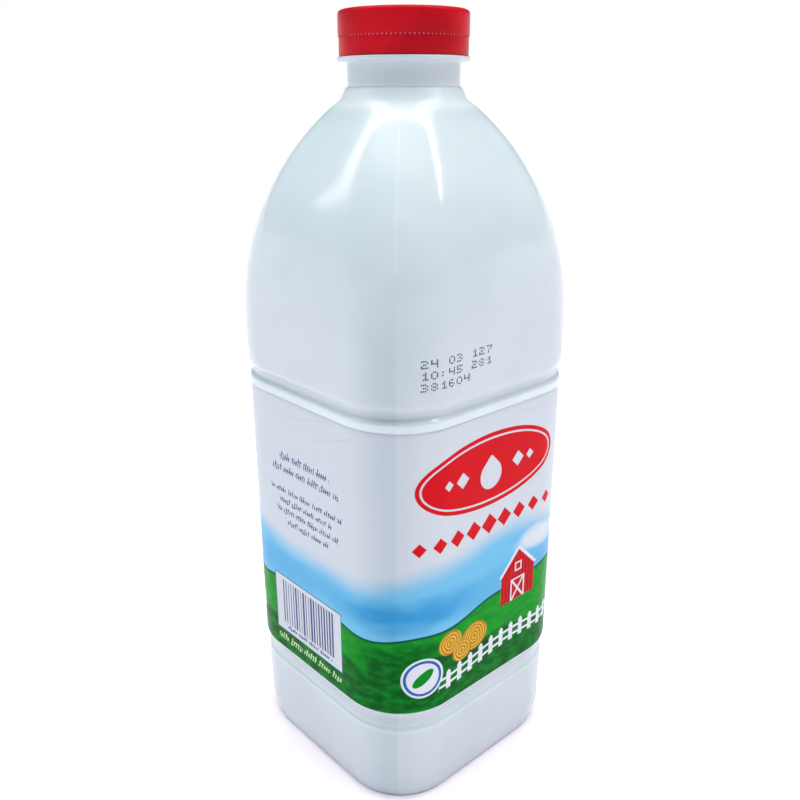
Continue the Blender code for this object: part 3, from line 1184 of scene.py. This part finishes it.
def strokes_row(middle, half_width, tall, seed, cell=1.05):
    """One row of uneven strokes in place of a line of small print, a stroke's usual height given."""
    slanted = calc(tree, "MULTIPLY_ADD", calc(tree, "SUBTRACT", up, middle[1]), -0.28, along)
    position = calc(tree, "DIVIDE", slanted, cell)
    number = calc(tree, "FLOOR", position)
    part = calc(tree, "FRACT", position)
    first = chance(number, seed)
    second = chance(number, seed + 7.3)
    stem = ramp(tree, calc(tree, "ABSOLUTE", calc(tree, "SUBTRACT", part, 0.42)), 0.12, 0.30, 1.0, 0.0)
    rise = calc(tree, "MULTIPLY_ADD", calc(tree, "GREATER_THAN", first, 0.72), tall * 0.5, tall / 2)
    above_foot = calc(tree, "SUBTRACT", up, middle[1] - tall / 2)
    above_rise = calc(tree, "SUBTRACT", above_foot, rise)
    below_top = ramp(tree, above_rise, tall / 2 - 0.1, tall / 2 + 0.1, 1.0, 0.0)
    stem = both(stem, both(ramp(tree, above_foot, -0.1, 0.1), below_top))
    bar_height = calc(tree, "MULTIPLY", calc(tree, "ROUND", calc(tree, "MULTIPLY", second, 2.0)), tall / 2)
    from_bar = calc(tree, "ABSOLUTE", calc(tree, "SUBTRACT", above_foot, bar_height))
    cross = both(ramp(tree, from_bar, 0.14, 0.34, 1.0, 0.0), calc(tree, "GREATER_THAN", second, 0.12))
    word = calc(tree, "FRACT", calc(tree, "DIVIDE", calc(tree, "ADD", slanted, seed), cell * 6.4))
    ink = both(either(stem, cross), calc(tree, "GREATER_THAN", word, 0.15))
    return both(ink, box(middle, (half_width, tall * 1.2)))


ROWS = [(-79.5, 117.0, 13.5, 2.1), (-79.5, 112.3, 18.0, 1.9), (-79.5, 104.2, 19.5, 1.5),
        (-80.0, 100.3, 14.5, 1.5), (-79.0, 96.4, 17.0, 1.5), (-79.5, 92.5, 12.0, 1.5)]
small_print = 0.0
for seed, (middle, height, half_width, tall) in enumerate(ROWS):
    small_print = either(small_print, strokes_row((middle, height), half_width, tall, 31.7 * seed))
colour = blend(tree, calc(tree, "MULTIPLY", small_print, PRINT_COVER), colour, NAVY)
print("rows of small print:", len(ROWS))

# %% Paint the panel of bars
BARS = (-81.0, 57.6)
BAR_PITCH = 1.5
panel = box(BARS, (19.2, 11.8))
panel_line = without(panel, box(BARS, (18.85, 11.45)))
colour = blend(tree, panel, colour, FILM_WHITE)
colour = blend(tree, panel_line, colour, NAVY)
bar_place = calc(tree, "DIVIDE", along, BAR_PITCH)
bar_width = calc(tree, "MULTIPLY_ADD", chance(calc(tree, "FLOOR", bar_place), 3.0), 0.27, 0.10)
from_bar = calc(tree, "ABSOLUTE", calc(tree, "SUBTRACT", calc(tree, "FRACT", bar_place), 0.5))
bars = both(calc(tree, "LESS_THAN", from_bar, bar_width), box((BARS[0], BARS[1] + 1.0), (14.8, 8.8)))
bars = either(bars, strokes_row((BARS[0], BARS[1] - 9.6), 13.5, 1.2, 5.0, 1.0))
colour = blend(tree, calc(tree, "MULTIPLY", bars, PRINT_COVER), colour, NAVY)
colour = blend(tree, strokes_row((-81.0, 42.4), 18.5, 1.9, 77.0, 1.3), colour, PALE_GREEN)
print("panel painted")

# %% [markdown]
# ## The seal and the margin
#
# A round white seal with a blue ring and a green leaf sits low on the front. The printing stops a little
# above the film's lower edge, which leaves a fine white margin. Then the finished colour goes to the
# shader, with the gloss and the bump of thin film.

# %% Paint the seal and finish the film
SEAL = (-31.0, 51.0)
RING_BLUE = (0.03, 0.12, 0.42, 1.0)
seal = oval(SEAL, (7.6, 7.6))
seal_ring = without(oval(SEAL, (6.8, 6.8)), oval(SEAL, (5.8, 5.8)))
leaf = oval(SEAL, (4.4, 1.9), math.radians(-40))
colour = blend(tree, seal, colour, PRINT_WHITE)
colour = blend(tree, seal_ring, colour, RING_BLUE)
colour = blend(tree, leaf, colour, LEAF_GREEN)
margin = ramp(tree, up, label_low.z / MM + 0.9, label_low.z / MM + 1.1, 1.0, 0.0)
colour = blend(tree, margin, colour, FILM_WHITE)

CREASES = [((-76.0, 134.6), 14.0, -11), ((-64.0, 131.0), 12.0, -19), ((22.0, 133.5), 15.0, 8)]
CREASE_SOFT = 2.2
CREASE_DEPTH = 4.0
FILM_GLOSS = (0.29, 0.33)
FILM_SHINE = 0.04

creases = 0.0
for middle, half_length, angle in CREASES:
    creases = either(creases, box(middle, (half_length, 0.2), math.radians(angle), CREASE_SOFT))
surface = use_group(tree, moulded, {"Place": place, "Cloud scale": 55.0, "Grain scale": 420.0})
# The film takes the same painted shade and painted highlights as the wall.
tree.links.new(toned(tree, place, colour), shader.inputs["Base Color"])
tree.links.new(ramp(tree, surface.outputs["Clouds"], 0.0, 1.0, *FILM_GLOSS), shader.inputs["Roughness"])
relief = calc(tree, "MULTIPLY_ADD", creases, CREASE_DEPTH, surface.outputs["Grain"])
bumped(tree, shader, relief, GRAIN_DEPTH)
shader.inputs["Specular IOR Level"].default_value = FILM_SHINE
paint_with(sleeve, film)
print("film material has", len(tree.nodes), "nodes")

# %% [markdown]
# ## The screw cap
#
# The cap is a turned form, so half of its section is drawn once and spun about the axis. Below its slit
# hangs the tamper band, a little narrower than the cap, which tears off when the bottle is first opened.
# The section starts as one point, the merged corners of a plane, and is extruded from corner to corner.

# %% Spin the cap
CAP_SIDES = 144
CAP_WALL = 1.5 * MM
CAP_ROOF = 1.8 * MM
BAND = CAP - 0.2 * MM
SLIT_LOW = cap_low.z + 5.2 * MM
SLIT_HIGH = SLIT_LOW + 0.42 * MM
SLIT_DEPTH = 0.42 * MM
BORE = CAP - CAP_WALL
CAP_OUTLINE = [
    (0.0, cap_high.z - 0.25 * MM, 0.0),
    (15.6 * MM, cap_high.z - 0.25 * MM, 0.3 * MM),
    (16.4 * MM, cap_high.z, 0.3 * MM),
    (CAP, cap_high.z, 1.5 * MM),
    (CAP, SLIT_HIGH, 0.10 * MM),
    (CAP - SLIT_DEPTH, SLIT_HIGH, 0.05 * MM),
    (CAP - SLIT_DEPTH, SLIT_LOW, 0.05 * MM),
    (BAND, SLIT_LOW, 0.10 * MM),
    (BAND, cap_low.z, 0.25 * MM),
    (BORE, cap_low.z, 0.2 * MM),
    (BORE, cap_high.z - CAP_ROOF, 0.4 * MM),
    (0.0, cap_high.z - CAP_ROOF, 0.0),
]


def turned_piece(name, outline, sides):
    """A solid of revolution about the bottle's axis, from half of its section."""
    start = (outline[0].x, 0, outline[0].y)
    piece = new_piece(name, bpy.ops.mesh.primitive_plane_add, size=MM, location=start)
    bpy.ops.mesh.merge(type="CENTER")
    bpy.ops.mesh.select_all(action="SELECT")
    for here, there in zip(outline, outline[1:]):
        step = (there.x - here.x, 0, there.y - here.y)
        bpy.ops.mesh.extrude_region_move(TRANSFORM_OT_translate={"value": step})
    bpy.ops.mesh.select_all(action="SELECT")
    bpy.ops.mesh.spin(steps=sides, angle=2 * math.pi, center=(0, 0, 0), axis=(0, 0, 1))
    bpy.ops.mesh.select_all(action="SELECT")
    bpy.ops.mesh.remove_doubles(threshold=0.005 * MM)
    bpy.ops.mesh.normals_make_consistent(inside=False)
    print(name, "has", len(edit_mesh().faces), "faces, open edges:", open_edges())
    bpy.ops.object.mode_set(mode="OBJECT")
    return piece


cap = turned_piece("screw_cap_shell", rounded(CAP_OUTLINE), CAP_SIDES)

# %% [markdown]
# ## The bridges of the tamper band
#
# The slit isn't cut right round: some ninety bridges hold the band to the cap, and between them a speck of
# the pale neck shows. One bridge is a small box with its outer edges bevelled. The Spin tool in its
# duplicate mode sets copies of it round the cap, and they are joined to it.

# %% Add the bridges
BRIDGES = 92
BRIDGE_WIDTH = 0.86 * MM

bridge = new_piece("bridges", bpy.ops.mesh.primitive_cube_add, size=1.0,
                   location=(BAND - 0.28 * MM, 0, (SLIT_LOW + SLIT_HIGH) / 2),
                   scale=(0.50 * MM, BRIDGE_WIDTH, SLIT_HIGH - SLIT_LOW + 0.1 * MM))
choose("edges", lambda edge: all(vert.co.x > BAND - 0.1 * MM for vert in edge.verts)
       and abs(edge.verts[0].co.z - edge.verts[1].co.z) > 0.1 * MM)
bpy.ops.mesh.bevel(offset=0.10 * MM, segments=2, affect="EDGES")
bpy.ops.mesh.select_all(action="SELECT")
bpy.ops.mesh.spin(steps=BRIDGES, dupli=True, angle=2 * math.pi, center=(0, 0, 0), axis=(0, 0, 1))
bpy.ops.mesh.select_all(action="SELECT")
bpy.ops.mesh.remove_doubles(threshold=0.005 * MM)
bpy.ops.object.mode_set(mode="OBJECT")
bpy.ops.object.select_all(action="DESELECT")
bridge.select_set(True)
cap.select_set(True)
bpy.context.view_layer.objects.active = cap
bpy.ops.object.join()
smooth(cap, 35)
print("cap with bridges has", len(cap.data.polygons), "faces")

# %% [markdown]
# ## Red moulded plastic
#
# The cap is a saturated red with a satin gloss. Its sides were pulled out of the mould along the axis,
# which leaves faint upright streaks: a noise that is stretched along z stands for them. They vary the gloss
# and feed the bump. The floor of the slit is painted a pale pink: the white neck that shows through it,
# with a painted red tinge of light bounced from the walls on both sides.

# %% Make the red plastic
RED_DEEP = (0.41, 0.003, 0.009, 1.0)
RED_BRIGHT = (0.53, 0.005, 0.013, 1.0)
# Pale pink: the white neck, with painted red light bounced from the slit's walls.
SLIT_PINK = (0.62, 0.24, 0.32, 1.0)
CAP_GLOSS = (0.27, 0.35)
CAP_SHINE = 0.09
STREAK_DEPTH = 0.007 * MM
SLIT_MIDDLE = (SLIT_LOW + SLIT_HIGH) / 2
SLIT_HALF = (SLIT_HIGH - SLIT_LOW) / 2

red, tree, shader, place = new_material("red moulded plastic")
surface = use_group(tree, moulded, {"Place": place, "Cloud scale": 60.0, "Grain scale": 900.0})
streaks = node(tree, "ShaderNodeMapping", {"Vector": place, "Scale": (900.0, 900.0, 20.0)}).outputs[0]
streaks = node(tree, "ShaderNodeTexNoise", {"Vector": streaks, "Scale": 1.0, "Detail": 2.0}).outputs["Fac"]
height_up = node(tree, "ShaderNodeSeparateXYZ", {0: place}).outputs["Z"]
reach = vector_calc(tree, "LENGTH", vector_calc(tree, "MULTIPLY", place, (1, 1, 0)))
from_slit = calc(tree, "ABSOLUTE", calc(tree, "SUBTRACT", height_up, SLIT_MIDDLE))
in_slit = both(calc(tree, "LESS_THAN", reach, CAP - 0.34 * MM),
               calc(tree, "LESS_THAN", from_slit, SLIT_HALF + 0.03 * MM))
in_slit = both(in_slit, calc(tree, "GREATER_THAN", reach, BORE + 0.4 * MM))
painted = blend(tree, surface.outputs["Clouds"], RED_DEEP, RED_BRIGHT)
tree.links.new(blend(tree, in_slit, painted, SLIT_PINK), shader.inputs["Base Color"])
tree.links.new(ramp(tree, streaks, 0.3, 0.7, *CAP_GLOSS), shader.inputs["Roughness"])
bumped(tree, shader, calc(tree, "MULTIPLY_ADD", surface.outputs["Grain"], 0.5, streaks), STREAK_DEPTH)
shader.inputs["Specular IOR Level"].default_value = CAP_SHINE
paint_with(cap, red)
print("material:", red.name)

# %% [markdown]
# ## The printed date
#
# A jet of ink prints a date and a time on the shoulder as the bottles pass. It prints dots: each digit is
# made of some dots in a grid of four by five. One dot is a thin disc with rounded rim, modelled once and
# copied to each lit place of each digit, flat on the wall. The rows rise a little, because the bottle
# passed at a slant.

# %% Model one dot of ink
DOT_RADIUS = 0.28 * MM
DOT_HEIGHT = 0.05 * MM
DIGITS = {
    "0": "0110 1001 1001 1001 0110", "1": "0010 0110 0010 0010 0111", "2": "1110 0001 0110 1000 1111",
    "3": "1110 0001 0110 0001 1110", "4": "1001 1001 1111 0001 0001", "5": "1111 1000 1110 0001 1110",
    "6": "0110 1000 1110 1001 0110", "7": "1111 0001 0010 0100 0100", "8": "0110 1001 0110 1001 0110",
    "9": "0110 1001 0111 0001 0110", ":": "0000 0100 0000 0100 0000", " ": "",
}
dot = new_piece("ink_dot", bpy.ops.mesh.primitive_cylinder_add, vertices=10, radius=DOT_RADIUS,
                depth=DOT_HEIGHT, end_fill_type="NGON", location=(0, 0, 0))
choose("edges", lambda edge: all(vert.co.z > 0 for vert in edge.verts))
bpy.ops.mesh.bevel(offset=DOT_HEIGHT * 0.45, segments=1, affect="EDGES")
bpy.ops.object.mode_set(mode="OBJECT")
print("one dot has", len(dot.data.polygons), "faces")

# %% [markdown]
# ## The dots on the wall
#
# Each dot has to lie on the shoulder, which is flat in the middle of a side and round towards its corner. A
# ray is cast at the wall, square to it. The point that it meets gives both the place and the way that the
# dot faces, so the print follows the wall wherever it bends.

# %% Print the date
DATE_LINES = ["24 03 127", "10:45 281", "381604"]
DATE_LEFT = Vector((-32.6 * MM, 0.0, 158.2 * MM))
ROW_PITCH = 0.49 * MM
COLUMN_PITCH = 0.62 * MM
DIGIT_PITCH = 3.15 * MM
LINE_PITCH = 3.5 * MM
DATE_RISE = 0.012


def print_dot(along_row, height):
    """A copy of the dot on the shell, at a distance along the row and a height."""
    flat_end = -FLAT * SHOULDER / PANEL
    start = DATE_LEFT.x + along_row
    inward = Vector((0.0, 1.0, 0.0))
    middle = Vector((start, flat_end, height))
    if start < flat_end:
        angle = (flat_end - start) / (SHOULDER + flat_end)
        inward = Vector((math.sin(angle), math.cos(angle), 0.0))
        middle.x = flat_end
    spot_on_wall, facing = shell.ray_cast(middle - inward * 2 * SHOULDER, inward)[1:3]
    copy = dot.copy()
    copy.data = dot.data.copy()
    bpy.context.scene.collection.objects.link(copy)
    turn = facing.to_track_quat("Z", "Y").to_matrix().to_4x4()
    copy.matrix_world = Matrix.Translation(spot_on_wall) @ turn
    return copy


def print_line(text, low):
    """The dots of one line of digits whose foot is at a height."""
    dots = []
    for place_in_row, digit in enumerate(text):
        for row, cells in enumerate(DIGITS[digit].split()):
            for column, lit in enumerate(cells):
                along_row = place_in_row * DIGIT_PITCH + column * COLUMN_PITCH
                if lit == "1":
                    dots.append(print_dot(along_row, low + (4 - row) * ROW_PITCH + DATE_RISE * along_row))
    return dots


bpy.context.view_layer.update()
dots = []
for row, text in enumerate(DATE_LINES):
    dots += print_line(text, DATE_LEFT.z - row * LINE_PITCH)
bpy.data.objects.remove(dot)
bpy.ops.object.select_all(action="DESELECT")
for copy in dots:
    copy.select_set(True)
bpy.context.view_layer.objects.active = dots[0]
bpy.ops.object.join()
bpy.ops.object.transform_apply(location=True, rotation=True, scale=True)
date = bpy.context.object
date.name = "printed_date"
smooth(date, 50)
print("date of", len(dots), "dots,", len(date.data.polygons), "faces")

# %% [markdown]
# ## Ink
#
# The jet lays down more ink in some dots than in others. The same moulded surface group, with small clouds,
# mixes a blue black with a washed-out grey, so that the date looks printed and not cut out.

# %% Make the ink
INK = (0.018, 0.024, 0.035, 1.0)
THIN_INK = (0.10, 0.12, 0.14, 1.0)

ink, tree, shader, place = new_material("date ink")
surface = use_group(tree, moulded, {"Place": place, "Cloud scale": 420.0, "Grain scale": 2500.0})
tree.links.new(blend(tree, surface.outputs["Clouds"], INK, THIN_INK), shader.inputs["Base Color"])
tree.links.new(ramp(tree, surface.outputs["Grain"], 0.3, 0.7, 0.35, 0.55), shader.inputs["Roughness"])
paint_with(date, ink)
print("material:", ink.name)

# %% [markdown]
# ## Put the pieces on the frame
#
# Each new piece rides on the bottle's one body. The three that stand for a imported solid hide it, and the
# date, which is printed on the shell, is added to it.

# %% Finish
for piece, node_name, slot in [(shell, "bottle_body", "white_bottle"), (sleeve, "wrap_label", "label_film"),
                               (cap, "screw_cap", "red_cap")]:
    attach(piece, "root")
    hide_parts(node_name)
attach(date, "root")
